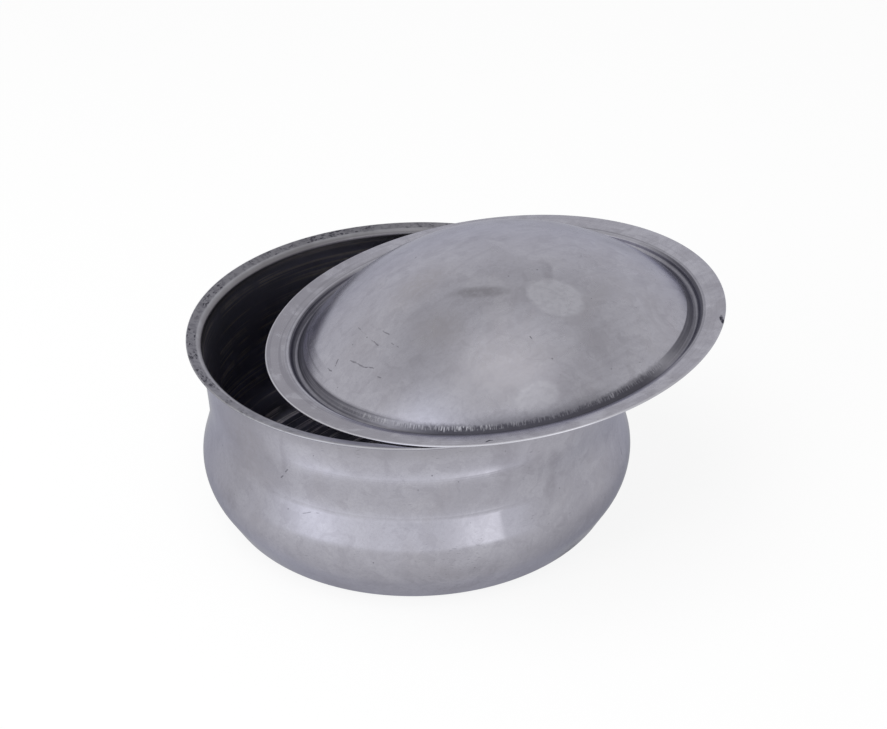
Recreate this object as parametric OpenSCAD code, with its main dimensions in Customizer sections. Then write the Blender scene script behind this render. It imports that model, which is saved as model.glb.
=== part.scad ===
// Round serving bowl with a waisted neck and flared lip, and a loose domed lid resting askew on it.
// Both pieces are spun sheet metal. Millimetres, +Z up, origin at the middle of the flat base.

/* [Bowl] */
// Width across the bowl's mouth, over the lip's edge
mouth_d = 200; // [170:1:240]
// Height of the lip's edge above the table
bowl_h = 85; // [76:1:105]
// Sheet thickness of the bowl
bowl_wall = 1.1; // [0.8:0.1:2]
// Height of the belly's widest circle
belly_z = 25.4; // [23:0.2:30]
// How far the belly lies inside the lip's edge
belly_in = 2.9; // [1:0.1:5]
// Radius of the belly's bulge
belly_arc = 25.8; // [20:0.2:30]
// Lean of the shoulder above the belly, from upright
shoulder_lean = 17.4; // [14:0.2:24]
// Radius of the bend from shoulder to neck
neck_bend = 6; // [3:0.5:12]
// How far the waist lies inside the lip's edge
waist_in = 7.7; // [6.5:0.1:10]
// Radius of the neck's flare, from the waist up
neck_flare = 260; // [120:5:320]
// Lean of the wall below the belly, from upright
wall_lean = 28.9; // [18:0.1:38]
// Radius of the corner between wall and base
base_corner = 7.6; // [4:0.1:11]

/* [Lip] */
// How far the neck's sheet lies inside the lip's edge
lip_w = 6.2; // [5:0.1:8]
// Rise of the lip towards its edge
lip_rise = 17; // [8:1:25]
// Radius of the bend from neck to lip, at mid sheet
lip_bend = 2; // [1.5:0.1:2.8]

/* [Lid] */
// How far the lid's edge would stand over the lip's edge if it lay centred
lid_over = 1; // [0.5:0.1:3]
// Sheet thickness of the lid
lid_sheet = 0.8; // [0.6:0.1:1.4]
// Rise of the dome above the flange's edge
dome_h = 34.4; // [22:0.2:48]
// How far the channel's lowest circle lies inside the lid's edge
channel_in = 13; // [12:0.2:16]
// Depth of the channel below the flange's edge
channel_depth = 4; // [3.8:0.1:6]
// Radius of the channel's floor, at mid sheet
channel_bend = 2.2; // [1.6:0.1:2.4]
// Slope of the channel's outer wall
channel_wall = 75; // [66:1:84]
// Rise of the flange towards its edge
flange_rise = 8; // [4:0.5:9]
// Radius of the bend from channel to flange, at mid sheet
flange_bend = 1.6; // [1:0.1:1.8]

/* [Seat] */
// How far the lid is pushed off the bowl's axis
lid_shift = 34.7; // [26:0.1:42]
// Direction in which the lid is pushed, from +X
lid_heading = -6.6; // [-30:0.2:30]
// Clearance between lid and lip where the lid rests
seat_gap = 0.3; // [0.2:0.05:0.5]

/* [Hidden] */
$fn = 180;
chord_gap = 0.02;
steel = [0.62, 0.63, 0.66];
lid_steel = [0.68, 0.68, 0.70];

// Bowl section: from base to waist on the outer face, the lip on the middle of the sheet
hb = bowl_wall / 2;
mouth_r = mouth_d / 2;
belly_r = mouth_r - belly_in;
waist_r = mouth_r - waist_in;
belly_c = [belly_r - belly_arc, belly_z];
shoulder = belly_c + belly_arc * [cos(shoulder_lean), sin(shoulder_lean)];
shoulder_in = shoulder[0] - waist_r - neck_bend * (1 - cos(shoulder_lean));
waist_z = shoulder[1] + shoulder_in / tan(shoulder_lean) + neck_bend * sin(shoulder_lean);
neck_c = [waist_r + neck_bend, waist_z];
lean = [cos(wall_lean), -sin(wall_lean)];
corner_c = [(lean * belly_c + belly_arc - base_corner + sin(wall_lean) * base_corner) / cos(wall_lean),
            base_corner];
lip_end = [mouth_r - hb, bowl_h - hb];
lip_knee = [mouth_r - lip_w, lip_end[1] - (lip_w - hb) * tan(lip_rise)];
flare_out = lip_knee[0] - waist_r + hb;
flare_up = lip_knee[1] - waist_z;
flare_max = flare_out > 0.05 ? 0.8 * (flare_out * flare_out + flare_up * flare_up) / (2 * flare_out) : 1000;
flare = min(neck_flare, flare_max);
flare_c = [waist_r + flare, waist_z];
to_knee = lip_knee - flare_c;
neck_lean = 180 - atan2(to_knee[1], to_knee[0]) - acos((flare + hb) / norm(to_knee));
knee_turn = 90 - lip_rise - neck_lean;
knee_len = lip_bend * tan(knee_turn / 2);
neck_top = lip_knee - knee_len * [sin(neck_lean), cos(neck_lean)];
knee_c = neck_top + lip_bend * [cos(neck_lean), -sin(neck_lean)];

// Lid section, on the middle of the sheet, level 0 at the flange's edge
hl = lid_sheet / 2;
lid_r = mouth_r + lid_over;
lid_end = [lid_r - hl, 0];
channel_r = lid_r - channel_in;
floor_c = [channel_r, channel_bend - channel_depth];
drop = floor_c[1] - dome_h;
dome_r = (channel_r * channel_r + drop * drop - channel_bend * channel_bend) / (2 * (channel_bend - drop));
dome_c = [0, dome_h - dome_r];
dome_edge = atan2(floor_c[1] - dome_c[1], channel_r);
wall_foot = floor_c + channel_bend * [sin(channel_wall), -cos(channel_wall)];
wall_way = [cos(channel_wall), sin(channel_wall)];
flange_way = [cos(flange_rise), sin(flange_rise)];
to_end = lid_end - wall_foot;
wall_len = (to_end[1] * flange_way[0] - to_end[0] * flange_way[1]) / sin(channel_wall - flange_rise);
flange_turn = channel_wall - flange_rise;
flange_arc = min(flange_bend, 0.9 * wall_len / tan(flange_turn / 2));
flange_len = flange_arc * tan(flange_turn / 2);
flange_knee = wall_foot + wall_len * wall_way;
wall_top = flange_knee - flange_len * wall_way;
flange_c = wall_top + flange_arc * [sin(channel_wall), -cos(channel_wall)];

// Resting place: the tilt at which flange and channel both come down to one gap over the lip
lip_top_r = lip_bend + hb;
edge_points = arc(lid_end, hl, flange_rise - 90, -20);
floor_points = arc(floor_c, channel_bend + hl, 250, 290);
lid_tilt = settle(0, 20, 16);
lid_z = rest_z(edge_points, lid_tilt);

// Height of the lip's upper face at radius r from the bowl's axis: round edge, slope, bend
function lip_top(r) = r >= mouth_r || r <= knee_c[0] - lip_top_r ? -100
    : r > lip_end[0] - hb * sin(lip_rise) ? lip_end[1] + sqrt(hb * hb - pow(r - lip_end[0], 2))
    : r > knee_c[0] - lip_top_r * sin(lip_rise)
        ? lip_end[1] + hb / cos(lip_rise) - (lip_end[0] - r) * tan(lip_rise)
    : knee_c[1] + sqrt(lip_top_r * lip_top_r - pow(r - knee_c[0], 2));
// Least height of the lid's middle that keeps these points of its underside, spun round, over the lip
function rest_z(points, tilt) = max([for (p = points) for (a = [0 : 1 : 180])
    lip_top(norm([lid_shift + p[0] * cos(a) * cos(tilt) - p[1] * sin(tilt), p[0] * sin(a)]))
    + seat_gap - p[0] * cos(a) * sin(tilt) - p[1] * cos(tilt)]);
// Halve the range of tilt until the flange and the channel ask for the same height
function settle(low, high, left) = let(mid = (low + high) / 2) left == 0 ? mid
    : rest_z(floor_points, mid) > rest_z(edge_points, mid) ? settle(mid, high, left - 1)
    : settle(low, mid, left - 1);

// Points on an arc round c, close enough together that no chord leaves it by more than chord_gap
function arc(c, r, a0, a1) = let(n = max(5, ceil(abs(a1 - a0) / (2 * acos(1 - chord_gap / r)))))
    [for (i = [0 : n]) c + r * [cos(a0 + (a1 - a0) * i / n), sin(a0 + (a1 - a0) * i / n)]];
function turned(list) = [for (i = [len(list) - 1 : -1 : 0]) list[i]];

// One face of the bowl's sheet, h outwards of its middle, from the base's middle to the lip's edge
function bowl_face(h) = concat(
    [[0, hb - h]],
    arc(corner_c, base_corner - hb + h, -90, -wall_lean),
    arc(belly_c, belly_arc - hb + h, -wall_lean, shoulder_lean),
    arc(neck_c, neck_bend + hb - h, 180 + shoulder_lean, 180),
    arc(flare_c, flare + hb - h, 180, 180 - neck_lean),
    arc(knee_c, lip_bend - h, 180 - neck_lean, 90 + lip_rise));

// One face of the lid's sheet, h above its middle, from the dome's top to the flange's edge
function lid_face(h) = concat(
    arc(dome_c, dome_r + h, 90, dome_edge),
    arc(floor_c, channel_bend - h, 180 + dome_edge, 270 + channel_wall),
    arc(flange_c, flange_arc + h, 90 + channel_wall, 90 + flange_rise));

module bowl_section() {
    polygon(concat(bowl_face(hb), arc(lip_end, hb, lip_rise - 90, lip_rise + 90), turned(bowl_face(-hb))));
}

module lid_section() {
    polygon(concat(turned(lid_face(hl)), lid_face(-hl), arc(lid_end, hl, flange_rise - 90, flange_rise + 90)));
}

module bowl() {
    color(steel) rotate_extrude() bowl_section();
}

module lid() {
    color(lid_steel)
    rotate([0, 0, lid_heading]) translate([lid_shift, 0, lid_z]) rotate([0, -lid_tilt, 0])
        rotate_extrude() lid_section();
}

bowl();
lid();
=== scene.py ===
import math
import bpy
from mathutils import Euler, Matrix, Vector


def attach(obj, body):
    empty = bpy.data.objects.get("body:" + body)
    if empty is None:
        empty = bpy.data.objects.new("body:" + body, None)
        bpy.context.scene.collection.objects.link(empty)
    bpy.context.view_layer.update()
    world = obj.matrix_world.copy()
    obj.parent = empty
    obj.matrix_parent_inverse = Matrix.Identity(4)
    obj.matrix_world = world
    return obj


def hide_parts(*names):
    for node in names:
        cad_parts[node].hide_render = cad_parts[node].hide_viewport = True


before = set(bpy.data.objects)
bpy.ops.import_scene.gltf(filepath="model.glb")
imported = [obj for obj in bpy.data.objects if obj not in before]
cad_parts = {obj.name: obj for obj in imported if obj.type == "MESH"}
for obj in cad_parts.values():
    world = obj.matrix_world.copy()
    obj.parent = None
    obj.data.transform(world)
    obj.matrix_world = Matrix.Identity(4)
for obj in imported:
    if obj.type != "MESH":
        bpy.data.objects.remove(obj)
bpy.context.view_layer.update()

MM = 0.001

# Sizes of the bowl in millimetres and its leans in degrees, the same values as in the part's source
MOUTH_R = 100.0
BOWL_H = 85.0
BOWL_WALL = 1.1
BELLY_Z = 25.4
BELLY_IN = 2.9
BELLY_ARC = 25.8
SHOULDER_LEAN = 17.4
NECK_BEND = 6.0
WAIST_IN = 7.7
NECK_FLARE = 260.0
WALL_LEAN = 28.9
BASE_CORNER = 7.6
LIP_W = 6.2
LIP_RISE = 17.0
LIP_BEND = 2.0

# Sizes of the lid in millimetres, slopes in degrees, and the flange bend's share of the channel's wall
LID_R = 101.0
LID_SHEET = 0.8
DOME_H = 34.4
CHANNEL_IN = 13.0
CHANNEL_DEPTH = 4.0
CHANNEL_BEND = 2.2
CHANNEL_WALL = 75.0
FLANGE_RISE = 8.0
FLANGE_BEND_SHARE = 0.9

# Resting place of the lid in millimetres and degrees: off the bowl's axis, tilted, its flange at LID_Z
LID_SHIFT = 34.7
LID_HEADING = -6.6
LID_TILT = 6.926
LID_Z = 88.376

# Fineness of the turned meshes, gaps in millimetres
SEGMENTS = 384
CHORD_GAP = 0.006
LEAST_CHORDS = 6
MERGE_GAP = 0.002

# Faces of the bowl's lip and base: their depth in millimetres, how far they look up, and material slots
LIP_DEPTH = 4.0
BASE_DEPTH = 4.4
LIP_LOOKS_UP = 0.1
BASE_LOOKS_UP = 0.02
LIP_SLOT = 1
INSIDE_SLOT = 2

# Camera of the photograph: width and focal length in pixels, place in metres, angles in degrees
PHOTO_W = 887
FOCAL_PX = 1800.0
SENSOR_MM = 36.0
CAMERA_AT = (0.0, -0.6895, 0.4764)
CAMERA_PITCH = -30.92
CAMERA_YAW = 1.05
CAMERA_ROLL = -0.88


def sin(degrees):
    return math.sin(math.radians(degrees))


def cos(degrees):
    return math.cos(math.radians(degrees))


def tan(degrees):
    return math.tan(math.radians(degrees))


def arc(centre, radius, start, end):
    """Points on an arc, so close together that no chord leaves it by more than CHORD_GAP."""
    step = 2 * math.degrees(math.acos(1 - CHORD_GAP / radius))
    count = max(LEAST_CHORDS, math.ceil(abs(end - start) / step))
    angles = [start + (end - start) * i / count for i in range(count + 1)]
    return [(centre[0] + radius * cos(a), centre[1] + radius * sin(a)) for a in angles]


def bowl_section():
    """Closed section of the bowl's sheet: outer face, rounded lip edge, inner face."""
    half = BOWL_WALL / 2
    belly_r = MOUTH_R - BELLY_IN
    waist_r = MOUTH_R - WAIST_IN
    belly = (belly_r - BELLY_ARC, BELLY_Z)
    shoulder = (belly[0] + BELLY_ARC * cos(SHOULDER_LEAN), belly[1] + BELLY_ARC * sin(SHOULDER_LEAN))
    inwards = shoulder[0] - waist_r - NECK_BEND * (1 - cos(SHOULDER_LEAN))
    waist_z = shoulder[1] + inwards / tan(SHOULDER_LEAN) + NECK_BEND * sin(SHOULDER_LEAN)
    neck = (waist_r + NECK_BEND, waist_z)
    along = cos(WALL_LEAN) * belly[0] - sin(WALL_LEAN) * belly[1] + BELLY_ARC - BASE_CORNER
    corner = ((along + sin(WALL_LEAN) * BASE_CORNER) / cos(WALL_LEAN), BASE_CORNER)
    lip_end = (MOUTH_R - half, BOWL_H - half)
    knee = (MOUTH_R - LIP_W, lip_end[1] - (LIP_W - half) * tan(LIP_RISE))
    flare = (waist_r + NECK_FLARE, waist_z)
    reach = math.dist(knee, flare)
    heading = math.degrees(math.atan2(knee[1] - flare[1], knee[0] - flare[0]))
    lean = 180 - heading - math.degrees(math.acos((NECK_FLARE + half) / reach))
    length = LIP_BEND * tan((90 - LIP_RISE - lean) / 2)
    top = (knee[0] - length * sin(lean), knee[1] - length * cos(lean))
    bend = (top[0] + LIP_BEND * cos(lean), top[1] - LIP_BEND * sin(lean))

    def face(out):
        points = [(0, half - out)]
        points += arc(corner, BASE_CORNER - half + out, -90, -WALL_LEAN)
        points += arc(belly, BELLY_ARC - half + out, -WALL_LEAN, SHOULDER_LEAN)
        points += arc(neck, NECK_BEND + half - out, 180 + SHOULDER_LEAN, 180)
        points += arc(flare, NECK_FLARE + half - out, 180, 180 - lean)[1:]
        return points + arc(bend, LIP_BEND - out, 180 - lean, 90 + LIP_RISE)

    edge = arc(lip_end, half, LIP_RISE - 90, LIP_RISE + 90)
    return face(half) + edge + face(-half)[::-1]


def lid_section():
    """Closed section of the lid's sheet, level 0 at the flange's edge: underside, edge, upper face."""
    half = LID_SHEET / 2
    end = (LID_R - half, 0)
    floor = (LID_R - CHANNEL_IN, CHANNEL_BEND - CHANNEL_DEPTH)
    drop = floor[1] - DOME_H
    dome_r = (floor[0] ** 2 + drop ** 2 - CHANNEL_BEND ** 2) / (2 * (CHANNEL_BEND - drop))
    dome = (0, DOME_H - dome_r)
    dome_edge = math.degrees(math.atan2(floor[1] - dome[1], floor[0]))
    foot = (floor[0] + CHANNEL_BEND * sin(CHANNEL_WALL), floor[1] - CHANNEL_BEND * cos(CHANNEL_WALL))
    to_end = (end[0] - foot[0], end[1] - foot[1])
    turn = CHANNEL_WALL - FLANGE_RISE
    wall = (to_end[1] * cos(FLANGE_RISE) - to_end[0] * sin(FLANGE_RISE)) / sin(turn)
    length = FLANGE_BEND_SHARE * wall
    flange_arc = length / tan(turn / 2)
    top = (foot[0] + (wall - length) * cos(CHANNEL_WALL), foot[1] + (wall - length) * sin(CHANNEL_WALL))
    bend = (top[0] + flange_arc * sin(CHANNEL_WALL), top[1] - flange_arc * cos(CHANNEL_WALL))

    def face(up):
        points = arc(dome, dome_r + up, 90, dome_edge)
        points += arc(floor, CHANNEL_BEND - up, 180 + dome_edge, 270 + CHANNEL_WALL)
        return points + arc(bend, flange_arc + up, 90 + CHANNEL_WALL, 90 + FLANGE_RISE)

    edge = arc(end, half, FLANGE_RISE - 90, FLANGE_RISE + 90)
    return face(-half) + edge + face(half)[::-1]


def turned_sheet(name, section):
    """Draws the section point by point and spins it round the upright axis, as on a lathe."""
    bpy.ops.object.select_all(action="DESELECT")
    bpy.ops.mesh.primitive_plane_add(size=MM)
    piece = bpy.context.object
    piece.name = name
    bpy.ops.object.mode_set(mode="EDIT")
    bpy.ops.mesh.select_mode(type="VERT")
    bpy.ops.mesh.select_all(action="SELECT")
    bpy.ops.mesh.merge(type="CENTER")
    at = Vector((section[0][0], 0, section[0][1])) * MM
    bpy.ops.transform.translate(value=at)
    for radius, height in section[1:]:
        to = Vector((radius, 0, height)) * MM
        bpy.ops.mesh.extrude_vertices_move(TRANSFORM_OT_translate={"value": to - at})
        at = to
    bpy.ops.mesh.select_all(action="SELECT")
    bpy.ops.mesh.spin(steps=SEGMENTS, angle=math.tau, center=(0, 0, 0), axis=(0, 0, 1))
    bpy.ops.mesh.select_all(action="SELECT")
    bpy.ops.mesh.remove_doubles(threshold=MERGE_GAP * MM)
    bpy.ops.mesh.normals_make_consistent(inside=False)
    bpy.ops.object.mode_set(mode="OBJECT")
    bpy.ops.object.shade_smooth()
    return piece


def give_faces(piece, slot, test):
    """Selects the faces whose middle and normal pass the test, and gives them that material slot."""
    bpy.context.view_layer.objects.active = piece
    piece.active_material_index = slot
    bpy.ops.object.mode_set(mode="EDIT")
    bpy.ops.mesh.select_mode(type="FACE")
    bpy.ops.mesh.select_all(action="DESELECT")
    bpy.ops.object.mode_set(mode="OBJECT")
    for face in piece.data.polygons:
        face.select = test(face.center / MM, face.normal)
    bpy.ops.object.mode_set(mode="EDIT")
    bpy.ops.object.material_slot_assign()
    bpy.ops.object.mode_set(mode="OBJECT")


def make_bowl():
    bowl = turned_sheet("spun_bowl", bowl_section())
    bowl.data.materials.append(bowl_outside_metal())
    bowl.data.materials.append(bowl_lip_metal())
    bowl.data.materials.append(bowl_inside_metal())
    lip_inner = MOUTH_R - LIP_W - LIP_BEND
    lip_low = BOWL_H - LIP_DEPTH

    def inner_face(middle, normal):
        inwards = normal.x * middle.x + normal.y * middle.y < 0
        return inwards if middle.z > BASE_DEPTH else normal.z > BASE_LOOKS_UP

    def lip_face(middle, normal):
        radius = math.hypot(middle.x, middle.y)
        return radius > lip_inner and middle.z > lip_low and normal.z > LIP_LOOKS_UP

    give_faces(bowl, INSIDE_SLOT, inner_face)
    give_faces(bowl, LIP_SLOT, lip_face)
    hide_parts("bowl")
    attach(bowl, "bowl")


def lid_turn():
    return Euler((0, math.radians(-LID_TILT), math.radians(LID_HEADING)))


def lid_middle():
    return Vector((LID_SHIFT * cos(LID_HEADING), LID_SHIFT * sin(LID_HEADING), LID_Z)) * MM


def make_lid():
    lid = turned_sheet("domed_lid", lid_section())
    lid.rotation_euler = lid_turn()
    lid.location = lid_middle()
    bpy.ops.object.transform_apply(location=True, rotation=True, scale=True)
    lid.data.materials.append(lid_metal())
    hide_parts("lid")
    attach(lid, "lid")


def put(tree, kind, inputs=None, **settings):
    """Adds a node, sets it up, and fills or links its inputs."""
    node = tree.nodes.new("ShaderNode" + kind)
    for key, value in settings.items():
        setattr(node, key, value)
    for key, value in (inputs or {}).items():
        if isinstance(value, bpy.types.NodeSocket):
            tree.links.new(value, node.inputs[key])
        else:
            node.inputs[key].default_value = value
    return node


def maths(tree, operation, a, b=0.0):
    return put(tree, "Math", {0: a, 1: b}, operation=operation).outputs[0]


def ramp(tree, value, low, high):
    """0 below low, 1 above high, smooth between; low may be the larger one."""
    inputs = {"Value": value, "From Min": low, "From Max": high}
    return put(tree, "MapRange", inputs, interpolation_type="SMOOTHSTEP").outputs[0]


def span(tree, value, left, right):
    """1 between two edges, each given as the value where it starts and where it ends."""
    rise = ramp(tree, value, left[0], left[1])
    fall = ramp(tree, value, right[1], right[0])
    return maths(tree, "MULTIPLY", rise, fall)


def ramp_mm(tree, value, edges):
    """A ramp between two places in millimetres."""
    return ramp(tree, value, edges[0] * MM, edges[1] * MM)


def span_mm(tree, value, left, right):
    """A span between two edges in millimetres."""
    return span(tree, value, (left[0] * MM, left[1] * MM), (right[0] * MM, right[1] * MM))


def mix(tree, share, first, second):
    node = put(tree, "Mix", {0: share, 6: first, 7: second}, data_type="RGBA")
    return node.outputs[2]


def blend(tree, share, first, second):
    node = put(tree, "Mix", {0: share, 2: first, 3: second}, data_type="FLOAT")
    return node.outputs[0]


def make_group(name, inputs, outputs):
    """An empty shader node group with these sockets; returns its tree, input node and output node."""
    tree = bpy.data.node_groups.new(name, "ShaderNodeTree")
    for label, kind in inputs.items():
        tree.interface.new_socket(label, in_out="INPUT", socket_type="NodeSocket" + kind)
    for label, kind in outputs.items():
        tree.interface.new_socket(label, in_out="OUTPUT", socket_type="NodeSocket" + kind)
    start = tree.nodes.new("NodeGroupInput")
    end = tree.nodes.new("NodeGroupOutput")
    return tree, start.outputs, end.inputs


def use(tree, group, inputs):
    """Adds a node group and returns what it gives."""
    return put(tree, "Group", inputs, node_tree=group).outputs


def place_group():
    """Radius, direction round the axis and height of a point on a turned piece."""
    tree, given, result = make_group(
        "Turned place", {"Vector": "Vector"}, {"Radius": "Float", "Around": "Vector", "Height": "Float"})
    parts = put(tree, "SeparateXYZ", {0: given["Vector"]}).outputs
    flat = put(tree, "CombineXYZ", {0: parts[0], 1: parts[1]}).outputs[0]
    length = put(tree, "VectorMath", {0: flat}, operation="LENGTH").outputs["Value"]
    around = put(tree, "VectorMath", {0: flat}, operation="NORMALIZE").outputs[0]
    tree.links.new(length, result["Radius"])
    tree.links.new(around, result["Around"])
    tree.links.new(parts[2], result["Height"])
    return tree


def round_vector(tree, around, turns, across):
    """A place for noise that runs on without a seam round the axis."""
    turn = put(tree, "VectorMath", {0: around, "Scale": turns}, operation="SCALE").outputs[0]
    step = put(tree, "CombineXYZ", {2: across}).outputs[0]
    return put(tree, "VectorMath", {0: turn, 1: step}, operation="ADD").outputs[0]


def lines_group():
    """Fine lines round the axis, left by the spinning tool."""
    tree, given, result = make_group(
        "Spinning lines", {"Around": "Vector", "Across": "Float", "Spacing": "Float"}, {"Lines": "Float"})
    across = maths(tree, "DIVIDE", given["Across"], given["Spacing"])
    vector = round_vector(tree, given["Around"], LINE_TURNS, across)
    noise = put(tree, "TexNoise", {"Vector": vector, "Scale": 1.0, "Detail": 3.0, "Roughness": 0.7})
    tree.links.new(noise.outputs["Fac"], result["Lines"])
    return tree


def ticks_group():
    """Short strokes side by side across the channel, where a cloth scraped the residue."""
    tree, given, result = make_group(
        "Channel ticks", {"Around": "Vector", "Radius": "Float"}, {"Mask": "Float"})
    across = maths(tree, "DIVIDE", given["Radius"], TICK_LENGTH * MM)
    vector = round_vector(tree, given["Around"], TICK_COUNT, across)
    noise = put(tree, "TexNoise", {"Vector": vector, "Scale": 1.0, "Detail": 2.0, "Roughness": 0.6})
    tree.links.new(ramp(tree, noise.outputs["Fac"], *TICK_EDGE), result["Mask"])
    return tree


def clouds_group():
    """Soft patches of handling and haze."""
    tree, given, result = make_group(
        "Clouds", {"Vector": "Vector", "Size": "Float", "Low": "Float", "High": "Float"}, {"Mask": "Float"})
    scale = maths(tree, "DIVIDE", 1.0, given["Size"])
    inputs = {"Vector": given["Vector"], "Scale": scale}
    noise = put(tree, "TexNoise", {**inputs, "Detail": 4.0, "Roughness": 0.55, "Distortion": 0.7})
    tree.links.new(ramp(tree, noise.outputs["Fac"], given["Low"], given["High"]), result["Mask"])
    return tree


def strokes_group():
    """Faint straight strokes of a wiping cloth."""
    tree, given, result = make_group(
        "Wipe strokes", {"Vector": "Vector", "Turn": "Vector", "Length": "Float", "Width": "Float"},
        {"Mask": "Float"})
    inputs = {"Vector": given["Vector"], "Rotation": given["Turn"]}
    turned = put(tree, "VectorRotate", inputs, rotation_type="EULER_XYZ").outputs[0]
    size = put(tree, "CombineXYZ", {0: given["Length"], 1: given["Width"], 2: given["Width"]}).outputs[0]
    vector = put(tree, "VectorMath", {0: turned, 1: size}, operation="DIVIDE").outputs[0]
    noise = put(tree, "TexNoise", {"Vector": vector, "Scale": 1.0, "Detail": 3.0, "Roughness": 0.6})
    tree.links.new(ramp(tree, noise.outputs["Fac"], *WIPE_EDGE), result["Mask"])
    return tree


def pits_group():
    """Small pits and specks of uneven size."""
    tree, given, result = make_group(
        "Pits", {"Vector": "Vector", "Size": "Float", "Cover": "Float"}, {"Mask": "Float"})
    scale = maths(tree, "DIVIDE", 1.0, given["Size"])
    cells = put(tree, "TexVoronoi", {"Vector": given["Vector"], "Scale": scale})
    chance = put(tree, "SeparateXYZ", {0: cells.outputs["Color"]}).outputs[0]
    reach = maths(tree, "MULTIPLY", chance, given["Cover"])
    low = maths(tree, "MULTIPLY", reach, PIT_CORE)
    tree.links.new(ramp(tree, cells.outputs["Distance"], reach, low), result["Mask"])
    return tree


def wavered(tree, vector, size, reach):
    """The place moved about a little by noise, so that outlines waver."""
    noise = put(tree, "TexNoise", {"Vector": vector, "Scale": 1 / (size * MM), "Detail": 2.0})
    middle = (NOISE_MIDDLE, NOISE_MIDDLE, NOISE_MIDDLE)
    shift = put(tree, "VectorMath", {0: noise.outputs["Color"], 1: middle}, operation="SUBTRACT")
    shift = put(tree, "VectorMath", {0: shift.outputs[0], "Scale": reach * MM}, operation="SCALE")
    return put(tree, "VectorMath", {0: vector, 1: shift.outputs[0]}, operation="ADD").outputs[0]


def mark_group():
    """One soft-edged patch at a chosen place, such as a finger mark, broken up inside."""
    tree, given, result = make_group(
        "Finger mark",
        {"Vector": "Vector", "Centre": "Vector", "Half size": "Vector", "Turn": "Float", "Soft": "Float"},
        {"Mask": "Float"})
    place = wavered(tree, given["Vector"], *MARK_WAVER)
    moved = put(tree, "VectorMath", {0: place, 1: given["Centre"]}, operation="SUBTRACT").outputs[0]
    inputs = {"Vector": moved, "Angle": given["Turn"]}
    turned = put(tree, "VectorRotate", inputs, rotation_type="Z_AXIS").outputs[0]
    share = put(tree, "VectorMath", {0: turned, 1: given["Half size"]}, operation="DIVIDE").outputs[0]
    length = put(tree, "VectorMath", {0: share}, operation="LENGTH").outputs["Value"]
    outer = maths(tree, "ADD", 1.0, given["Soft"])
    inner = maths(tree, "SUBTRACT", 1.0, given["Soft"])
    patch = ramp(tree, length, outer, inner)
    grain = put(tree, "TexNoise", {"Vector": given["Vector"], "Scale": MARK_GRAIN, "Detail": 3.0})
    broken = blend(tree, ramp(tree, grain.outputs["Fac"], *MARK_EDGE), MARK_LEAST, 1.0)
    tree.links.new(maths(tree, "MULTIPLY", patch, broken), result["Mask"])
    return tree


def scratch_group():
    """One thin broken line between two points."""
    tree, given, result = make_group(
        "Scratch",
        {"Vector": "Vector", "From": "Vector", "To": "Vector", "Width": "Float"},
        {"Mask": "Float"})
    place = wavered(tree, given["Vector"], *SCRATCH_WAVER)
    way = put(tree, "VectorMath", {0: given["To"], 1: given["From"]}, operation="SUBTRACT").outputs[0]
    off = put(tree, "VectorMath", {0: place, 1: given["From"]}, operation="SUBTRACT").outputs[0]
    dot = put(tree, "VectorMath", {0: off, 1: way}, operation="DOT_PRODUCT").outputs["Value"]
    full = put(tree, "VectorMath", {0: way, 1: way}, operation="DOT_PRODUCT").outputs["Value"]
    share = put(tree, "Clamp", {"Value": maths(tree, "DIVIDE", dot, full)}).outputs[0]
    foot = put(tree, "VectorMath", {0: way, "Scale": share}, operation="SCALE").outputs[0]
    gap = put(tree, "VectorMath", {0: off, 1: foot}, operation="DISTANCE").outputs["Value"]
    line = ramp(tree, gap, given["Width"], maths(tree, "MULTIPLY", given["Width"], SCRATCH_CORE))
    breaks = put(tree, "TexNoise", {"Vector": given["Vector"], "Scale": SCRATCH_GRAIN, "Detail": 2.0})
    kept = ramp(tree, breaks.outputs["Fac"], *SCRATCH_EDGE)
    tree.links.new(maths(tree, "MULTIPLY", line, kept), result["Mask"])
    return tree


# Settings of the node groups: lengths in millimetres, edges are the noise where a mask starts and is full
NOISE_MIDDLE = 0.5
LINE_TURNS = 0.7
TICK_LENGTH = 2.6
TICK_COUNT = 170.0
TICK_EDGE = (0.48, 0.62)
WIPE_EDGE = (0.45, 0.7)
PIT_CORE = 0.5

# Marks and scratches: size and reach of their wavering in millimetres, scale and edges of their breaks
MARK_WAVER = (11.0, 4.5)
MARK_GRAIN = 450.0
MARK_EDGE = (0.35, 0.6)
MARK_LEAST = 0.55
SCRATCH_WAVER = (5.0, 1.6)
SCRATCH_GRAIN = 380.0
SCRATCH_EDGE = (0.36, 0.5)
SCRATCH_CORE = 0.3

TURNED_PLACE = place_group()
SPINNING_LINES = lines_group()
CHANNEL_TICKS = ticks_group()
CLOUDS = clouds_group()
WIPE_STROKES = strokes_group()
PITS = pits_group()
FINGER_MARK = mark_group()
SCRATCH = scratch_group()

# Colours of the metal, some of them painted shade and painted highlights
METAL = (0.588, 0.585, 0.632, 1)
METAL_WARM = (0.51, 0.495, 0.515, 1)
METAL_DULL = (0.435, 0.427, 0.465, 1)
METAL_TARNISH = (0.4, 0.392, 0.42, 1)
METAL_BRIGHT = (0.72, 0.72, 0.765, 1)
HIGHLIGHT_AND_WORN_METAL = (0.92, 0.92, 0.95, 1)
PITTED = (0.26, 0.253, 0.285, 1)
RESIDUE = (0.04, 0.038, 0.056, 1)
LIP_SHADE = (0.2, 0.19, 0.2, 1)
INSIDE_PAINTED_SHADE = (0.47, 0.47, 0.57, 1)
INSIDE_BOTTOM_PAINTED_SHADE = (0.17, 0.17, 0.2, 1)
STREAK_GLINT_INSIDE = (0.78, 0.73, 0.72, 1)
EDGE_TINT = (0.8, 0.81, 0.9, 1)
COOL_CAST = (0.99, 0.98, 1.015, 1)

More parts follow.
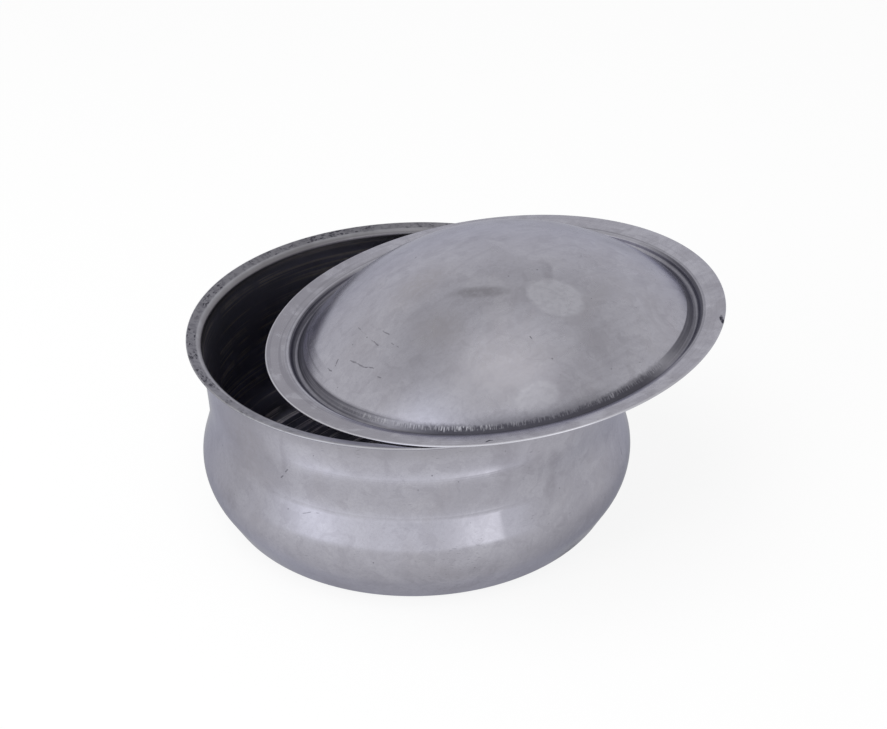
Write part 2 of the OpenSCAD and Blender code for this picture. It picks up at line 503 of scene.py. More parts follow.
# Roughness, from least to most
LID_ROUGH = (0.2, 0.3)
RESIDUE_ROUGH = 0.45
BOWL_ROUGH = (0.08, 0.15)
LIP_ROUGH = (0.3, 0.6)
INSIDE_ROUGH = (0.25, 0.45)

# Depth of the bumps in millimetres
LINE_DEPTH = 0.004
INSIDE_LINE_DEPTH = 0.01
LID_WAVES = 0.06
BOWL_WAVES = 0.04
PIT_DEPTH = 0.12

# Two swells in the shading of the bowl in millimetres: where the foot bends, where it ends, height per bend
RIDGE_FEET = (59.4, 60.5, 61.6, 62.7, 63.8, 64.9)
RIDGE_END = 78.5
NECK_RIDGE = 0.5
WAIST_FEET = (44.2, 44.5, 44.8, 45.1, 45.4, 45.7)
WAIST_END = 56.0
WAIST_SWELL = 0.23

# Sides of the pieces in degrees: direction from the axis, and how far the side reaches to either hand
TARNISH_SIDE = (195, 75)
ARC_SIDE = (205, 95)
RIM_HIGHLIGHT_SIDE = (-125, 125)
RESIDUE_SIDE = (-95, 115)
HAZE_SIDE = (-73, 26)
TICK_SIDE = (-108, 34)
LEFT_SIDE = (194, 68)
INNER_SIDE = (172, 46)
RIGHT_SIDE = (4, 46)
NECK_SIDE = (-88, 50)
LIP_SIDE = (155, 105)

# Share of a side's reach within which it is full
SIDE_CORE = 0.4

# Radii on the lid in millimetres, where a tone or the rim's painted highlight starts and is full
FLANGE_R = (92, 93)
RIM_HIGHLIGHT_R = (100.1, 100.6)
FOOT_R = (83.4, 85.6)
HAZE_R = (80.5, 87)
RESIDUE_END_R = (92.4, 90.8)
SCRAPED_R = ((84.5, 85.0), (85.8, 86.3))

# Painted shade along the crease at the flange's foot in millimetres: its radius, and how far off it starts
# and is full
CREASE_SHADE_R = 92.0
CREASE_SHADE_REACH = (0.6, 0.2)

# How much less the flange's sheet seems to rise, and over which radii, in millimetres
FLANGE_LEAN = 0.7
FLANGE_LEAN_R = (101, 93)

# Radii on the lip and heights on the rest of the bowl in millimetres, where a tone, a painted shade or a
# painted highlight starts and is full
LIP_OUTER_R = (95.2, 96.2)
LIP_INNER_SHADE_R = (96.2, 93.2)
LIP_EDGE_HIGHLIGHT_R = (99.4, 99.8)
NECK_PAINTED_SHADE_Z = (73, 80)
INSIDE_TOP_SHADE_Z = (83, 76)
INSIDE_BOTTOM_SHADE_Z = (2, 20)

# Residue in the lid's channel: scale and reach of its ragged edge, shares, and softness of the rings of
# painted shade at its sides
RAGGED_GRAIN = 900.0
RAGGED_REACH = 1.6
SCRAPED_SHARE = (0.3, 0.8)
HAZE_SHARE = 0.85
RING_SOFT = 0.15
RING_LEAST_SOFT = 0.2
RING_GAPS = 0.72

# Rings of painted shade and dark reflections at the sides of the lid's channel in millimetres: inner
# radius, outer radius, depth of tone
LEFT_SHADE_RINGS = [(88.4, 90.4, 0.97), (84.3, 86.9, 0.92), (84.3, 90.4, 0.62)]
INNER_SHADE_RINGS = [(81.3, 81.8, 0.6), (79.2, 84.3, 0.3)]
RIGHT_SHADE_RINGS = [(89.0, 91.2, 0.94), (84.6, 86.0, 0.85), (85.0, 89.0, 0.76)]

# Spacing of the spinning tool's lines in millimetres, and the noise edges of what shows of them
LID_LINES = 0.8
ARC_LINES = 2.6
BOWL_LINES = 0.5
INSIDE_LINES = 1.6
GROOVE_EDGE = (0.45, 0.65)
ARC_EDGE = (0.6, 0.66)
RING_EDGE = (0.45, 0.62)
STREAK_EDGE = (0.5, 0.62)

# Scuffs round the bowl and pits on its lip: how close they stand, width in millimetres, how much shows
SCUFF_TURNS = 42.0
SCUFF_WIDTH = 0.45
SCUFF_EDGE = (0.63, 0.72)
PIT_TURNS = 55.0
PIT_WIDTH = 0.8
PIT_COVER = 0.95

# How dark the lip's outer part is, away from the pitted side and on it
LIP_DARK = (0.2, 0.9)

# Wiping: turn of the strokes in degrees and their share on each piece, length and width in millimetres
LID_WIPE = (0, 0, -40)
LID_WIPED = 0.26
BOWL_WIPE = (0, 55, 0)
BOWL_WIPED = 0.12
WIPE_LENGTH = 42
WIPE_WIDTH = 3.2

# Clouds: size in millimetres, noise where they start, noise where they are full
FINE_GRAIN = (1.2, 0.4, 0.72)
LID_BROAD = (45, 0.4, 0.66)
BOWL_BROAD = (45, 0.4, 0.7)
FLANGE_BLOTCHES = (9, 0.46, 0.6)
FLANGE_PALE = (13, 0.52, 0.64)
SCRAPED_PATCHES = (14, 0.4, 0.62)
SCUFF_PATCHES = (26, 0.48, 0.62)
LIP_DULLING = (12, 0.3, 0.7)
LIP_PATCHES = (11, 0.47, 0.6)
LIP_CRUST = (2.4, 0.46, 0.6)
INSIDE_PATCHES = (30, 0.36, 0.52)

# Tones of handled metal: a cloud as above, then the share and colour of its tone
HANDLING = [
    (55, 0.4, 0.66, 0.28, METAL_DULL),
    (30, 0.48, 0.68, 0.32, METAL_WARM),
    (11, 0.48, 0.75, 0.35, METAL_DULL),
    (17, 0.5, 0.7, 0.32, METAL_BRIGHT),
    (24, 0.53, 0.56, 0.16, METAL_BRIGHT),
    (8, 0.55, 0.62, 0.27, METAL_DULL)]

# Fine grain and specks of handled metal: shares, size of the specks in millimetres, their cover
FINE_GRAIN_SHARE = 0.26
SPECK_SIZE = 6
SPECK_COVER = 0.085
SPECK_SHARE = 0.5

# Marks in millimetres on each piece: middle, half size, turn in degrees, softness, share, colour
LID_MARKS = [
    ((9, -66, 15), (19, 13, 15), 0, 0.8, 0.6, METAL_WARM),
    ((31.5, -31.5, 26), (11.5, 9.5, 20), 10, 0.12, 0.75, METAL_BRIGHT),
    ((23.5, -74.7, 5), (9.5, 4.8, 20), -27, 0.18, 0.6, METAL_BRIGHT),
    ((1, -25.5, 31), (9, 3, 20), 0, 0.3, 0.4, METAL_BRIGHT),
    ((-12, -72, 9), (22, 7, 25), 0, 0.8, 0.3, METAL_BRIGHT),
    ((0, -31, 30), (11, 3, 20), 0, 0.5, 0.95, METAL_TARNISH),
    ((58, 30, 20), (9, 5, 20), -20, 0.6, 0.7, METAL_DULL),
    ((28, -17.5, 30), (2, 6, 20), -10, 0.6, 0.7, METAL_DULL),
    ((-26, -20, 29), (12, 8, 20), -30, 0.9, 0.8, METAL_WARM),
    ((-16, -48, 24), (9, 7, 20), 20, 0.9, 0.7, METAL_WARM),
    ((99.4, -16.5, 0.3), (0.7, 5, 3), -9, 0.2, 1.0, RESIDUE)]
BOWL_MARKS = [
    ((-72, -59, 62), (15, 16, 15), 0, 0.8, 0.7, METAL_WARM),
    ((36, -86.3, 69), (5, 6, 15), 0, 0.5, 0.7, METAL_DULL),
    ((56.5, -73.5, 60), (4, 4, 5), 30, 0.6, 0.75, METAL_DULL),
    ((55, -74, 48), (3, 3, 6), 0, 0.6, 0.75, METAL_DULL),
    ((47.6, -79.8, 63), (6, 4, 5), 0, 0.7, 0.6, METAL_DULL),
    ((-90.4, -34.8, 29), (2, 2, 2), 0, 0.5, 0.5, METAL_DULL),
    ((-81.5, -51.8, 30.6), (5, 5, 4), 0, 0.7, 0.6, METAL_DULL),
    ((-50, -79.5, 66), (3, 3, 9), 0, 0.6, 0.2, METAL_BRIGHT),
    ((-55, -76, 66), (1.5, 3, 10), 0, 0.6, 0.6, METAL_DULL)]

# Scratches in millimetres on each piece: from, to, width, share
LID_SCRATCHES = [
    ((-53.1, -31, 17.6), (-43, -45.4, 16.9), 0.45, 0.55),
    ((-63.2, -42.7, 6.9), (-62, -41, 8.5), 0.5, 0.7),
    ((-55.8, -45.2, 10.5), (-48.3, -52.9, 10.6), 0.45, 0.45),
    ((-48.3, -52.9, 10.6), (-43.7, -55.3, 11.5), 0.45, 0.5),
    ((-41.1, -39.6, 20.1), (-38.7, -42.8, 19.8), 0.4, 0.5),
    ((-36.7, -47.4, 18.5), (-33.9, -50.8, 17.8), 0.35, 0.4),
    ((-67.5, -40.6, 4.8), (-65.2, -43.7, 4.9), 0.45, 0.6),
    ((-42.9, -59.1, 9.6), (-41.5, -60, 9.6), 0.4, 0.5),
    ((21.1, -53.3, 20), (21.9, -54.3, 19.6), 0.4, 0.6),
    ((4, -98.5, 0.1), (5.1, -97.4, 0), 0.6, 0.9),
    ((5.1, -97.4, 0), (6.3, -97.3, 0), 0.5, 0.9)]
BOWL_SCRATCHES = [
    ((-56.7, -73, 54.3), (-53.3, -75.9, 60.7), 0.4, 0.6),
    ((-50.1, -79, 40.6), (-41.2, -83.1, 43.3), 0.35, 0.4),
    ((87.7, -28.8, 47.5), (90, -32.3, 34), 0.6, 0.35)]


def metal_material(name):
    """A metal with its colour, roughness and bump still to be linked."""
    material = bpy.data.materials.new(name)
    material.use_nodes = True
    tree = material.node_tree
    shader = tree.nodes["Principled BSDF"]
    shader.inputs["Metallic"].default_value = 1.0
    shader.inputs["Specular Tint"].default_value = EDGE_TINT
    return material, tree, shader.inputs


def bump(tree, height, depth, normal=None):
    """A normal bent by a height, of which 1 stands for that depth in millimetres."""
    inputs = {"Height": height, "Strength": 1.0, "Distance": depth * MM}
    if normal is not None:
        inputs["Normal"] = normal
    return put(tree, "Bump", inputs).outputs[0]


def tinted(tree, colour, mask, share, other):
    """Mixes another colour in where the mask is, up to that share."""
    return mix(tree, maths(tree, "MULTIPLY", mask, share), colour, other)


def layered(tree, colour, layers):
    """Mixes tones in one over the other: where each one is, up to what share, its colour."""
    for mask, share, tone in layers:
        colour = tinted(tree, colour, mask, share, tone)
    return colour


def towards(tree, around, degrees, wide):
    """1 on the side of the piece that faces that way, 0 further off than wide."""
    way = (cos(degrees), sin(degrees), 0)
    dot = put(tree, "VectorMath", {0: around, 1: way}, operation="DOT_PRODUCT").outputs["Value"]
    return ramp(tree, dot, cos(wide), cos(wide * SIDE_CORE))


def cloud(tree, vector, size, low, high):
    return use(tree, CLOUDS, {"Vector": vector, "Size": size * MM, "Low": low, "High": high})["Mask"]


def spinning_lines(tree, around, across, spacing):
    inputs = {"Around": around, "Across": across, "Spacing": spacing * MM}
    return use(tree, SPINNING_LINES, inputs)["Lines"]


def handled(tree, vector, wipe, wiped):
    """Colour of a much handled metal: haze, warm smudges, wipe strokes, fine grain and specks."""
    colour = METAL
    for size, low, high, share, tone in HANDLING:
        colour = tinted(tree, colour, cloud(tree, vector, size, low, high), share, tone)
    turn = [math.radians(angle) for angle in wipe]
    inputs = {"Vector": vector, "Turn": turn, "Length": WIPE_LENGTH * MM, "Width": WIPE_WIDTH * MM}
    strokes = use(tree, WIPE_STROKES, inputs)["Mask"]
    grain = cloud(tree, vector, *FINE_GRAIN)
    specks = use(tree, PITS, {"Vector": vector, "Size": SPECK_SIZE * MM, "Cover": SPECK_COVER})["Mask"]
    return layered(tree, colour, [
        (strokes, wiped, METAL_DULL),
        (grain, FINE_GRAIN_SHARE, METAL_DULL),
        (specks, SPECK_SHARE, RESIDUE)])


def marked(tree, vector, colour, marks, scratches):
    """Adds the finger marks, smudges and scratches of one piece, and the metal's cool cast."""
    for centre, half, turn, soft, share, tone in marks:
        inputs = {"Vector": vector, "Centre": Vector(centre) * MM, "Half size": Vector(half) * MM}
        inputs = {**inputs, "Turn": math.radians(turn), "Soft": soft}
        colour = tinted(tree, colour, use(tree, FINGER_MARK, inputs)["Mask"], share, tone)
    for start, end, width, share in scratches:
        inputs = {"Vector": vector, "From": Vector(start) * MM, "To": Vector(end) * MM}
        inputs = {**inputs, "Width": width * MM}
        colour = tinted(tree, colour, use(tree, SCRATCH, inputs)["Mask"], share, RESIDUE)
    inputs = {0: 1.0, 6: colour, 7: COOL_CAST}
    return put(tree, "Mix", inputs, data_type="RGBA", blend_type="MULTIPLY").outputs[2]


def scraped_ticks(tree, vector, radius, around, edge):
    """Where a cloth scraped short strokes into the residue at the dome's foot."""
    ticks = use(tree, CHANNEL_TICKS, {"Around": around, "Radius": radius})["Mask"]
    ticks = maths(tree, "MULTIPLY", ticks, span_mm(tree, edge, *SCRAPED_R))
    patches = cloud(tree, vector, *SCRAPED_PATCHES)
    return maths(tree, "MULTIPLY", ticks, blend(tree, patches, *SCRAPED_SHARE))


def channel_shade_rings(tree, radius, lines, sides):
    """Painted shade and dark reflections in rings in the lid's channel, a list of them for each side,
    broken by the spinning lines.
    """
    rings = 0.0
    for side, rows in sides:
        for inner, outer, depth in rows:
            soft = RING_SOFT * (outer - inner) + RING_LEAST_SOFT
            ring = span_mm(tree, radius, (inner - soft, inner), (outer, outer + soft))
            ring = maths(tree, "MULTIPLY", maths(tree, "MULTIPLY", ring, depth), side)
            rings = maths(tree, "MAXIMUM", rings, ring)
    broken = blend(tree, ramp(tree, lines, *RING_EDGE), 1.0, RING_GAPS)
    return maths(tree, "MULTIPLY", rings, broken)


def channel_residue_and_shade(tree, vector, radius, around, lines):
    """Dark residue in the lid's channel, ragged in front; painted shade and dark reflections in rings at
    the sides; and its bright ticks.
    """
    noise = put(tree, "TexNoise", {"Vector": vector, "Scale": RAGGED_GRAIN, "Detail": 3.0}).outputs["Fac"]
    ragged = maths(tree, "MULTIPLY", maths(tree, "SUBTRACT", noise, NOISE_MIDDLE), RAGGED_REACH * MM)
    edge = maths(tree, "ADD", radius, ragged)
    scraped = scraped_ticks(tree, vector, radius, around, edge)
    foot = maths(tree, "MULTIPLY", ramp_mm(tree, edge, FOOT_R), towards(tree, around, *RESIDUE_SIDE))
    foot = maths(tree, "MULTIPLY", foot, maths(tree, "SUBTRACT", 1.0, scraped))
    haze = maths(tree, "MULTIPLY", ramp_mm(tree, edge, HAZE_R), towards(tree, around, *HAZE_SIDE))
    left = towards(tree, around, *LEFT_SIDE)
    inner = towards(tree, around, *INNER_SIDE)
    right = towards(tree, around, *RIGHT_SIDE)
    sides = [(left, LEFT_SHADE_RINGS), (inner, INNER_SHADE_RINGS), (right, RIGHT_SHADE_RINGS)]
    rings = channel_shade_rings(tree, radius, lines, sides)
    front = maths(tree, "SUBTRACT", 1.0, maths(tree, "MAXIMUM", left, right))
    deep = maths(tree, "MAXIMUM", maths(tree, "MULTIPLY", haze, HAZE_SHARE), foot)
    deep = maths(tree, "MAXIMUM", maths(tree, "MULTIPLY", deep, front), rings)
    deep = maths(tree, "MULTIPLY", deep, ramp_mm(tree, radius, RESIDUE_END_R))
    bright = maths(tree, "MULTIPLY", scraped, towards(tree, around, *TICK_SIDE))
    return deep, bright


def lid_metal():
    material, tree, shader = metal_material("buffed lid metal")
    raw = put(tree, "TexCoord").outputs["Object"]
    inputs = {"Vector": raw, "Location": lid_middle(), "Rotation": lid_turn()}
    vector = put(tree, "Mapping", inputs, vector_type="TEXTURE").outputs[0]
    place = use(tree, TURNED_PLACE, {"Vector": vector})
    radius, around = place["Radius"], place["Around"]
    lines = spinning_lines(tree, around, radius, LID_LINES)
    flange = ramp_mm(tree, radius, FLANGE_R)
    grooves = maths(tree, "MULTIPLY", flange, ramp(tree, lines, *GROOVE_EDGE))
    tarnish = maths(tree, "MULTIPLY", flange, towards(tree, around, *TARNISH_SIDE))
    blotches = maths(tree, "MULTIPLY", flange, cloud(tree, vector, *FLANGE_BLOTCHES))
    pale = maths(tree, "MULTIPLY", flange, cloud(tree, vector, *FLANGE_PALE))
    arcs = ramp(tree, spinning_lines(tree, around, radius, ARC_LINES), *ARC_EDGE)
    arcs = maths(tree, "MULTIPLY", flange, arcs)
    arcs = maths(tree, "MULTIPLY", arcs, towards(tree, around, *ARC_SIDE))
    # Painted highlight along the lid's rounded outer edge, on the side towards the front
    rim_highlight = maths(tree, "MULTIPLY", ramp_mm(tree, radius, RIM_HIGHLIGHT_R), towards(tree, around, *RIM_HIGHLIGHT_SIDE))
    colour = layered(tree, handled(tree, vector, LID_WIPE, LID_WIPED), [
        (grooves, 0.35, METAL_DULL),
        (tarnish, 0.75, METAL_TARNISH),
        (blotches, 0.35, METAL_TARNISH),
        (pale, 0.35, METAL_BRIGHT),
        (arcs, 0.4, PITTED),
        (rim_highlight, 0.7, HIGHLIGHT_AND_WORN_METAL)])
    colour = marked(tree, vector, colour, LID_MARKS, LID_SCRATCHES)
    # Residue in the channel, with painted shade and dark reflections in rings at its sides
    residue, ticks = channel_residue_and_shade(tree, vector, radius, around, lines)
    # Painted shade along the crease at the flange's foot
    off = maths(tree, "ABSOLUTE", maths(tree, "SUBTRACT", radius, CREASE_SHADE_R * MM))
    colour = layered(tree, colour, [
        (residue, 0.86, RESIDUE),
        (ticks, 0.5, HIGHLIGHT_AND_WORN_METAL),
        (ramp_mm(tree, off, CREASE_SHADE_REACH), 0.3, RESIDUE)])
    tree.links.new(colour, shader["Base Color"])
    broad = cloud(tree, vector, *LID_BROAD)
    rough = blend(tree, residue, blend(tree, broad, *LID_ROUGH), RESIDUE_ROUGH)
    tree.links.new(rough, shader["Roughness"])
    normal = bump(tree, lines, LINE_DEPTH)
    inputs = {"Value": radius, "From Min": FLANGE_LEAN_R[0] * MM, "From Max": FLANGE_LEAN_R[1] * MM}
    lean = put(tree, "MapRange", inputs).outputs[0]
    normal = bump(tree, lean, FLANGE_LEAN, normal)
    tree.links.new(bump(tree, broad, LID_WAVES, normal), shader["Normal"])
    return material


def swell(tree, height, feet, end):
    """A rise round the bowl with a soft crease at its foot, easing off upwards."""
    total = 0.0
    for foot in feet:
        inputs = {"Value": height, "From Min": foot * MM, "From Max": end * MM}
        up = put(tree, "MapRange", inputs).outputs[0]
        bend = maths(tree, "POWER", maths(tree, "SUBTRACT", 1.0, up), 2.0)
        total = maths(tree, "ADD", total, bend)
    return total


def bowl_outside_metal():
    material, tree, shader = metal_material("buffed bowl metal")
    vector = put(tree, "TexCoord").outputs["Object"]
    place = use(tree, TURNED_PLACE, {"Vector": vector})
    height, around = place["Height"], place["Around"]
    lines = spinning_lines(tree, around, height, BOWL_LINES)
    colour = handled(tree, vector, BOWL_WIPE, BOWL_WIPED)
    colour = marked(tree, vector, colour, BOWL_MARKS, BOWL_SCRATCHES)
    dashes = round_vector(tree, around, SCUFF_TURNS, maths(tree, "DIVIDE", height, SCUFF_WIDTH * MM))
    scuffs = put(tree, "TexNoise", {"Vector": dashes, "Scale": 1.0, "Detail": 2.0}).outputs["Fac"]
    patches = cloud(tree, vector, *SCUFF_PATCHES)
    scuffs = maths(tree, "MULTIPLY", ramp(tree, scuffs, *SCUFF_EDGE), patches)
    # Painted shade darkens the neck just under the lip
    colour = layered(tree, colour, [
        (ramp_mm(tree, height, NECK_PAINTED_SHADE_Z), 0.45, METAL_DULL),
        (scuffs, 0.5, PITTED)])
    tree.links.new(colour, shader["Base Color"])
    broad = cloud(tree, vector, *BOWL_BROAD)
    tree.links.new(blend(tree, broad, *BOWL_ROUGH), shader["Roughness"])
    normal = bump(tree, lines, LINE_DEPTH)
    normal = bump(tree, swell(tree, height, WAIST_FEET, WAIST_END), WAIST_SWELL, normal)
    ridge = swell(tree, height, RIDGE_FEET, RIDGE_END)
    ridge = maths(tree, "MULTIPLY", ridge, towards(tree, around, *NECK_SIDE))
    normal = bump(tree, ridge, NECK_RIDGE, normal)
    tree.links.new(bump(tree, broad, BOWL_WAVES, normal), shader["Normal"])
    return material


def bowl_lip_metal():
    material, tree, shader = metal_material("pitted lip metal")
    vector = put(tree, "TexCoord").outputs["Object"]
    place = use(tree, TURNED_PLACE, {"Vector": vector})
    radius, around = place["Radius"], place["Around"]
    outer = ramp_mm(tree, radius, LIP_OUTER_R)
    left = towards(tree, around, *LIP_SIDE)
    worms = round_vector(tree, around, PIT_TURNS, maths(tree, "DIVIDE", radius, PIT_WIDTH * MM))
    pits = use(tree, PITS, {"Vector": worms, "Size": 1.0, "Cover": PIT_COVER})["Mask"]
    patches = maths(tree, "MULTIPLY", cloud(tree, vector, *LIP_PATCHES), left)
    pits = maths(tree, "MULTIPLY", maths(tree, "MULTIPLY", pits, outer), patches)
    dark = maths(tree, "MULTIPLY", outer, blend(tree, left, *LIP_DARK))
    crust = maths(tree, "MULTIPLY", dark, cloud(tree, vector, *LIP_CRUST))
    # The lip gets a painted shade on its inner bend and a painted highlight along its outer edge
    colour = layered(tree, METAL, [
        (cloud(tree, vector, *LIP_DULLING), 0.9, METAL_DULL),
        (dark, 0.92, PITTED),
        (crust, 0.35, RESIDUE),
        (pits, 0.75, RESIDUE),
        (ramp_mm(tree, radius, LIP_INNER_SHADE_R), 0.85, LIP_SHADE),
        (ramp_mm(tree, radius, LIP_EDGE_HIGHLIGHT_R), 0.3, HIGHLIGHT_AND_WORN_METAL)])
    tree.links.new(colour, shader["Base Color"])
    tree.links.new(blend(tree, pits, *LIP_ROUGH), shader["Roughness"])
    tree.links.new(bump(tree, maths(tree, "SUBTRACT", 1.0, pits), PIT_DEPTH), shader["Normal"])
    return material


def bowl_inside_metal():
    material, tree, shader = metal_material("inside metal with painted shade")
    vector = put(tree, "TexCoord").outputs["Object"]
    place = use(tree, TURNED_PLACE, {"Vector": vector})
    radius, around, height = place["Radius"], place["Around"], place["Height"]
    along = maths(tree, "SUBTRACT", height, radius)
    lines = spinning_lines(tree, around, along, INSIDE_LINES)
    # The spinning tool's lines inside, painted lighter in patches as light falling on them
    patches = cloud(tree, vector, *INSIDE_PATCHES)
    lit_streaks = maths(tree, "MULTIPLY", ramp(tree, lines, *STREAK_EDGE), patches)
    # Painted shade: the inside is darker than the metal, darker still at the bottom and just under the lip
    dark = mix(tree, ramp_mm(tree, height, INSIDE_BOTTOM_SHADE_Z), INSIDE_BOTTOM_PAINTED_SHADE, INSIDE_PAINTED_SHADE)
    dark = mix(tree, lit_streaks, dark, STREAK_GLINT_INSIDE)
    depth = ramp_mm(tree, height, INSIDE_TOP_SHADE_Z)
    tree.links.new(mix(tree, depth, LIP_SHADE, dark), shader["Base Color"])
    tree.links.new(blend(tree, lines, *INSIDE_ROUGH), shader["Roughness"])
    tree.links.new(bump(tree, lines, INSIDE_LINE_DEPTH), shader["Normal"])
    return material


# Plain studio, white to the camera: size of the floor in metres, its drop in millimetres, shares of light
WHITE = (1, 1, 1, 1)
FLOOR_SIZE = 8.0
FLOOR_DROP = 0.2
FLOOR_PAINT = (0.9, 0.9, 0.9, 1)
FLOOR_WHITE = 0.88
FLOOR_SHEEN = 0.75
ROOM_LIGHT = 0.6
DAYLIGHT = (0.94, 0.98, 1.1)

# Brightness of what mirror-like surfaces see of the room, the floor and the window
ROOM_GREY = 0.555
ROOM_LOW = 0.07
ROOM_HIGH = 0.05
ROOM_TOP = 0.16
OVERHEAD_GLOW = 0.12
FLOOR_GREY = 0.54
FLOOR_LEFT = 0.15
FLOOR_RIGHT = 0.04
FLOOR_FOOT_SHADOW = 0.1
WINDOW_WIDE = 0.21
WINDOW_LEFT = 0.31
WINDOW_RIGHT = 0.46

# Headings in degrees where a part starts and is full, and where it fades and ends
WINDOW_WIDE_SPAN = ((-92, -64), (42, 66))
WINDOW_LEFT_SPAN = ((-88, -60), (-54, -26))
WINDOW_RIGHT_SPAN = ((4, 36), (37.2, 38.2))
FLOOR_LEFT_SPAN = ((-175, -125), (-82, -48))
FLOOR_RIGHT_SPAN = ((30, 62), (125, 175))

# Distances on the floor in millimetres where a part starts and is full
FOOT_SHADOW_REACH = (150, 90)
WIDE_REACH = (150, 500)
LEFT_REACH = (105, 360)
RIGHT_REACH = (260, 520)

# Upward parts of a direction into the room where a part starts and is full; the overhead glow's way
WINDOW_UP = (0.92, 0.6)
LOW_UP = (0.7, 0.5)
HIGH_UP = (0.6, 0.8)
TOP_UP = (0.9, 1.0)
OVERHEAD_WAY = (-0.15, -0.25, 0.955)
OVERHEAD_NEAR = (0.89, 0.985)

# Lamps: name, place in metres, width in metres, power; and the point they are turned to
SOFTBOXES = [
    ("overhead softbox", (-0.3, -0.2, 1.2), 1.0, 8),
    ("front left softbox", (-0.9, -0.9, 0.7), 0.6, 5)]
LAMP_TARGET = (0, 0, 0.05)


def seen_directly(tree):
    """1 for rays from the camera, a mirror-like surface or glass."""
    path = put(tree, "LightPath").outputs
    both = maths(tree, "MAXIMUM", path["Is Camera Ray"], path["Is Glossy Ray"])
    return maths(tree, "MAXIMUM", both, path["Is Transmission Ray"])


def heading_of(tree, across, along):
    """Direction from the bowl in degrees: 0 is towards the viewer, plus is to the right."""
    return maths(tree, "DEGREES", maths(tree, "ARCTAN2", across, maths(tree, "MULTIPLY", along, -1.0)))


def window_glow(tree, heading, shares=(1.0, 1.0, 1.0)):
    """How much brighter the window is than the room: its cool light, and the plain light of its right part.

    The shares are those of its whole width, its left part and its right part."""
    wide = maths(tree, "MULTIPLY", span(tree, heading, *WINDOW_WIDE_SPAN), WINDOW_WIDE)
    left = maths(tree, "MULTIPLY", span(tree, heading, *WINDOW_LEFT_SPAN), WINDOW_LEFT)
    right = maths(tree, "MULTIPLY", span(tree, heading, *WINDOW_RIGHT_SPAN), WINDOW_RIGHT)
    parts = [maths(tree, "MULTIPLY", part, share) for part, share in zip((wide, left, right), shares)]
    return maths(tree, "ADD", parts[0], parts[1]), parts[2]


def floor_glow(tree, vector):
    """What mirrors see of the floor: its grey with a painted shadow near the bowl's foot, the window's
    plain light, and the cool light.
    """
    parts = put(tree, "SeparateXYZ", {0: vector}).outputs
    heading = heading_of(tree, parts[0], parts[1])
    radius = use(tree, TURNED_PLACE, {"Vector": vector})["Radius"]
    left = maths(tree, "MULTIPLY", span(tree, heading, *FLOOR_LEFT_SPAN), FLOOR_LEFT)
    right = maths(tree, "MULTIPLY", span(tree, heading, *FLOOR_RIGHT_SPAN), FLOOR_RIGHT)
    # Painted shadow: the floor as mirrors see it darkens near the bowl's foot
    foot = maths(tree, "MULTIPLY", ramp_mm(tree, radius, FOOT_SHADOW_REACH), FLOOR_FOOT_SHADOW)
    darker = maths(tree, "ADD", maths(tree, "ADD", left, right), foot)
    shares = [ramp_mm(tree, radius, reach) for reach in (WIDE_REACH, LEFT_REACH, RIGHT_REACH)]
    cool, plain = window_glow(tree, heading, shares)
    grey = maths(tree, "SUBTRACT", FLOOR_GREY, darker)
    return maths(tree, "ADD", grey, plain), cool


def daylight(tree, grey, window):
    """Colour of what mirror-like surfaces see: neutral grey plus the window's cool light."""
    light = put(tree, "VectorMath", {0: DAYLIGHT, "Scale": window}, operation="SCALE").outputs[0]
    plain = put(tree, "CombineXYZ", {0: grey, 1: grey, 2: grey}).outputs[0]
    return put(tree, "VectorMath", {0: plain, 1: light}, operation="ADD").outputs[0]


def make_floor():
    bpy.ops.object.select_all(action="DESELECT")
    bpy.ops.mesh.primitive_plane_add(size=FLOOR_SIZE, location=(0, 0, -FLOOR_DROP * MM))
    floor = bpy.context.object
    floor.name = "floor"
    bpy.ops.object.transform_apply(location=True)
    material = bpy.data.materials.new("white floor")
    material.use_nodes = True
    tree = material.node_tree
    tree.nodes.remove(tree.nodes["Principled BSDF"])
    paint = put(tree, "BsdfDiffuse", {"Color": FLOOR_PAINT}).outputs[0]
    camera = put(tree, "LightPath").outputs["Is Camera Ray"]
    grey, cool = floor_glow(tree, put(tree, "TexCoord").outputs["Object"])
    colour = mix(tree, camera, daylight(tree, grey, cool), WHITE)
    glow = put(tree, "Emission", {"Color": colour, "Strength": 1.0}).outputs[0]
    share = blend(tree, camera, FLOOR_SHEEN, FLOOR_WHITE)
    share = maths(tree, "MULTIPLY", seen_directly(tree), share)
    both = put(tree, "MixShader", {0: share, 1: paint, 2: glow}).outputs[0]
    tree.links.new(both, tree.nodes["Material Output"].inputs["Surface"])
    floor.data.materials.append(material)


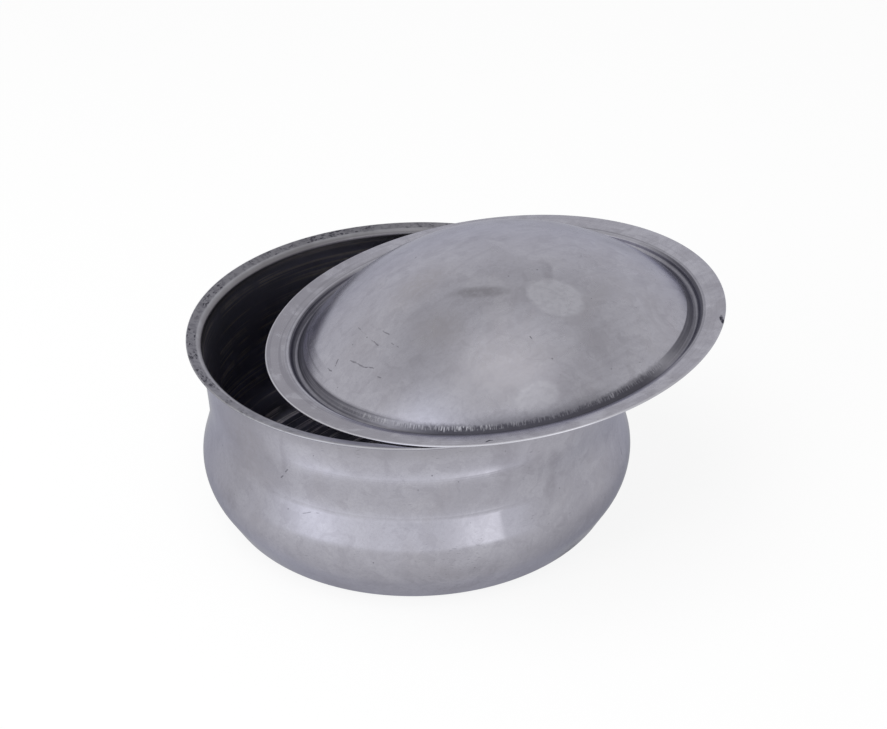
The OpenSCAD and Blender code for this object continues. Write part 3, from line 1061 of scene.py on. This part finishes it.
def make_room():
    world = bpy.data.worlds.new("white room")
    bpy.context.scene.world = world
    world.use_nodes = True
    tree = world.node_tree
    tree.nodes.remove(tree.nodes["Background"])
    way = put(tree, "TexCoord").outputs["Generated"]
    parts = put(tree, "SeparateXYZ", {0: way}).outputs
    cool, plain = window_glow(tree, heading_of(tree, parts[0], parts[1]))
    below = ramp(tree, parts[2], *WINDOW_UP)
    cool = maths(tree, "MULTIPLY", cool, below)
    plain = maths(tree, "MULTIPLY", plain, below)
    low = maths(tree, "MULTIPLY", ramp(tree, parts[2], *LOW_UP), ROOM_LOW)
    high = maths(tree, "MULTIPLY", ramp(tree, parts[2], *HIGH_UP), ROOM_HIGH)
    top = maths(tree, "MULTIPLY", ramp(tree, parts[2], *TOP_UP), ROOM_HIGH + ROOM_TOP)
    near = put(tree, "VectorMath", {0: way, 1: OVERHEAD_WAY}, operation="DOT_PRODUCT").outputs["Value"]
    overhead = maths(tree, "MULTIPLY", ramp(tree, near, *OVERHEAD_NEAR), OVERHEAD_GLOW)
    shade = maths(tree, "ADD", maths(tree, "ADD", low, top), overhead)
    shade = maths(tree, "SUBTRACT", shade, high)
    grey = maths(tree, "ADD", maths(tree, "ADD", ROOM_GREY, shade), plain)
    camera = put(tree, "LightPath").outputs["Is Camera Ray"]
    colour = mix(tree, camera, daylight(tree, grey, cool), WHITE)
    light = put(tree, "Background", {"Color": WHITE, "Strength": ROOM_LIGHT}).outputs[0]
    white = put(tree, "Background", {"Color": colour, "Strength": 1.0}).outputs[0]
    both = put(tree, "MixShader", {0: seen_directly(tree), 1: light, 2: white}).outputs[0]
    tree.links.new(both, tree.nodes["World Output"].inputs["Surface"])


def softbox(name, place, width, power):
    bpy.ops.object.light_add(type="AREA", location=place)
    lamp = bpy.context.object
    lamp.name = name
    lamp.data.shape = "RECTANGLE"
    lamp.data.size = width
    lamp.data.size_y = width
    lamp.data.energy = power
    way = Vector(LAMP_TARGET) - Vector(place)
    lamp.rotation_euler = way.to_track_quat("-Z", "Y").to_euler()
    lamp.visible_glossy = False


def make_camera():
    level = cos(CAMERA_PITCH)
    forward = Vector((sin(CAMERA_YAW) * level, cos(CAMERA_YAW) * level, sin(CAMERA_PITCH)))
    right = Vector((cos(CAMERA_YAW), -sin(CAMERA_YAW), 0))
    up = right.cross(forward)
    rolled_right = right * cos(CAMERA_ROLL) + up * sin(CAMERA_ROLL)
    rolled_up = up * cos(CAMERA_ROLL) - right * sin(CAMERA_ROLL)
    turn = Matrix((rolled_right, rolled_up, -forward)).transposed()
    bpy.ops.object.camera_add(location=CAMERA_AT, rotation=turn.to_euler())
    camera = bpy.context.object
    camera.data.sensor_fit = "HORIZONTAL"
    camera.data.sensor_width = SENSOR_MM
    camera.data.lens = SENSOR_MM * FOCAL_PX / PHOTO_W
    bpy.context.scene.camera = camera


make_camera()
make_bowl()
make_lid()
make_floor()
make_room()
for name, place, width, power in SOFTBOXES:
    softbox(name, place, width, power)
bpy.context.scene.view_settings.view_transform = "Standard"
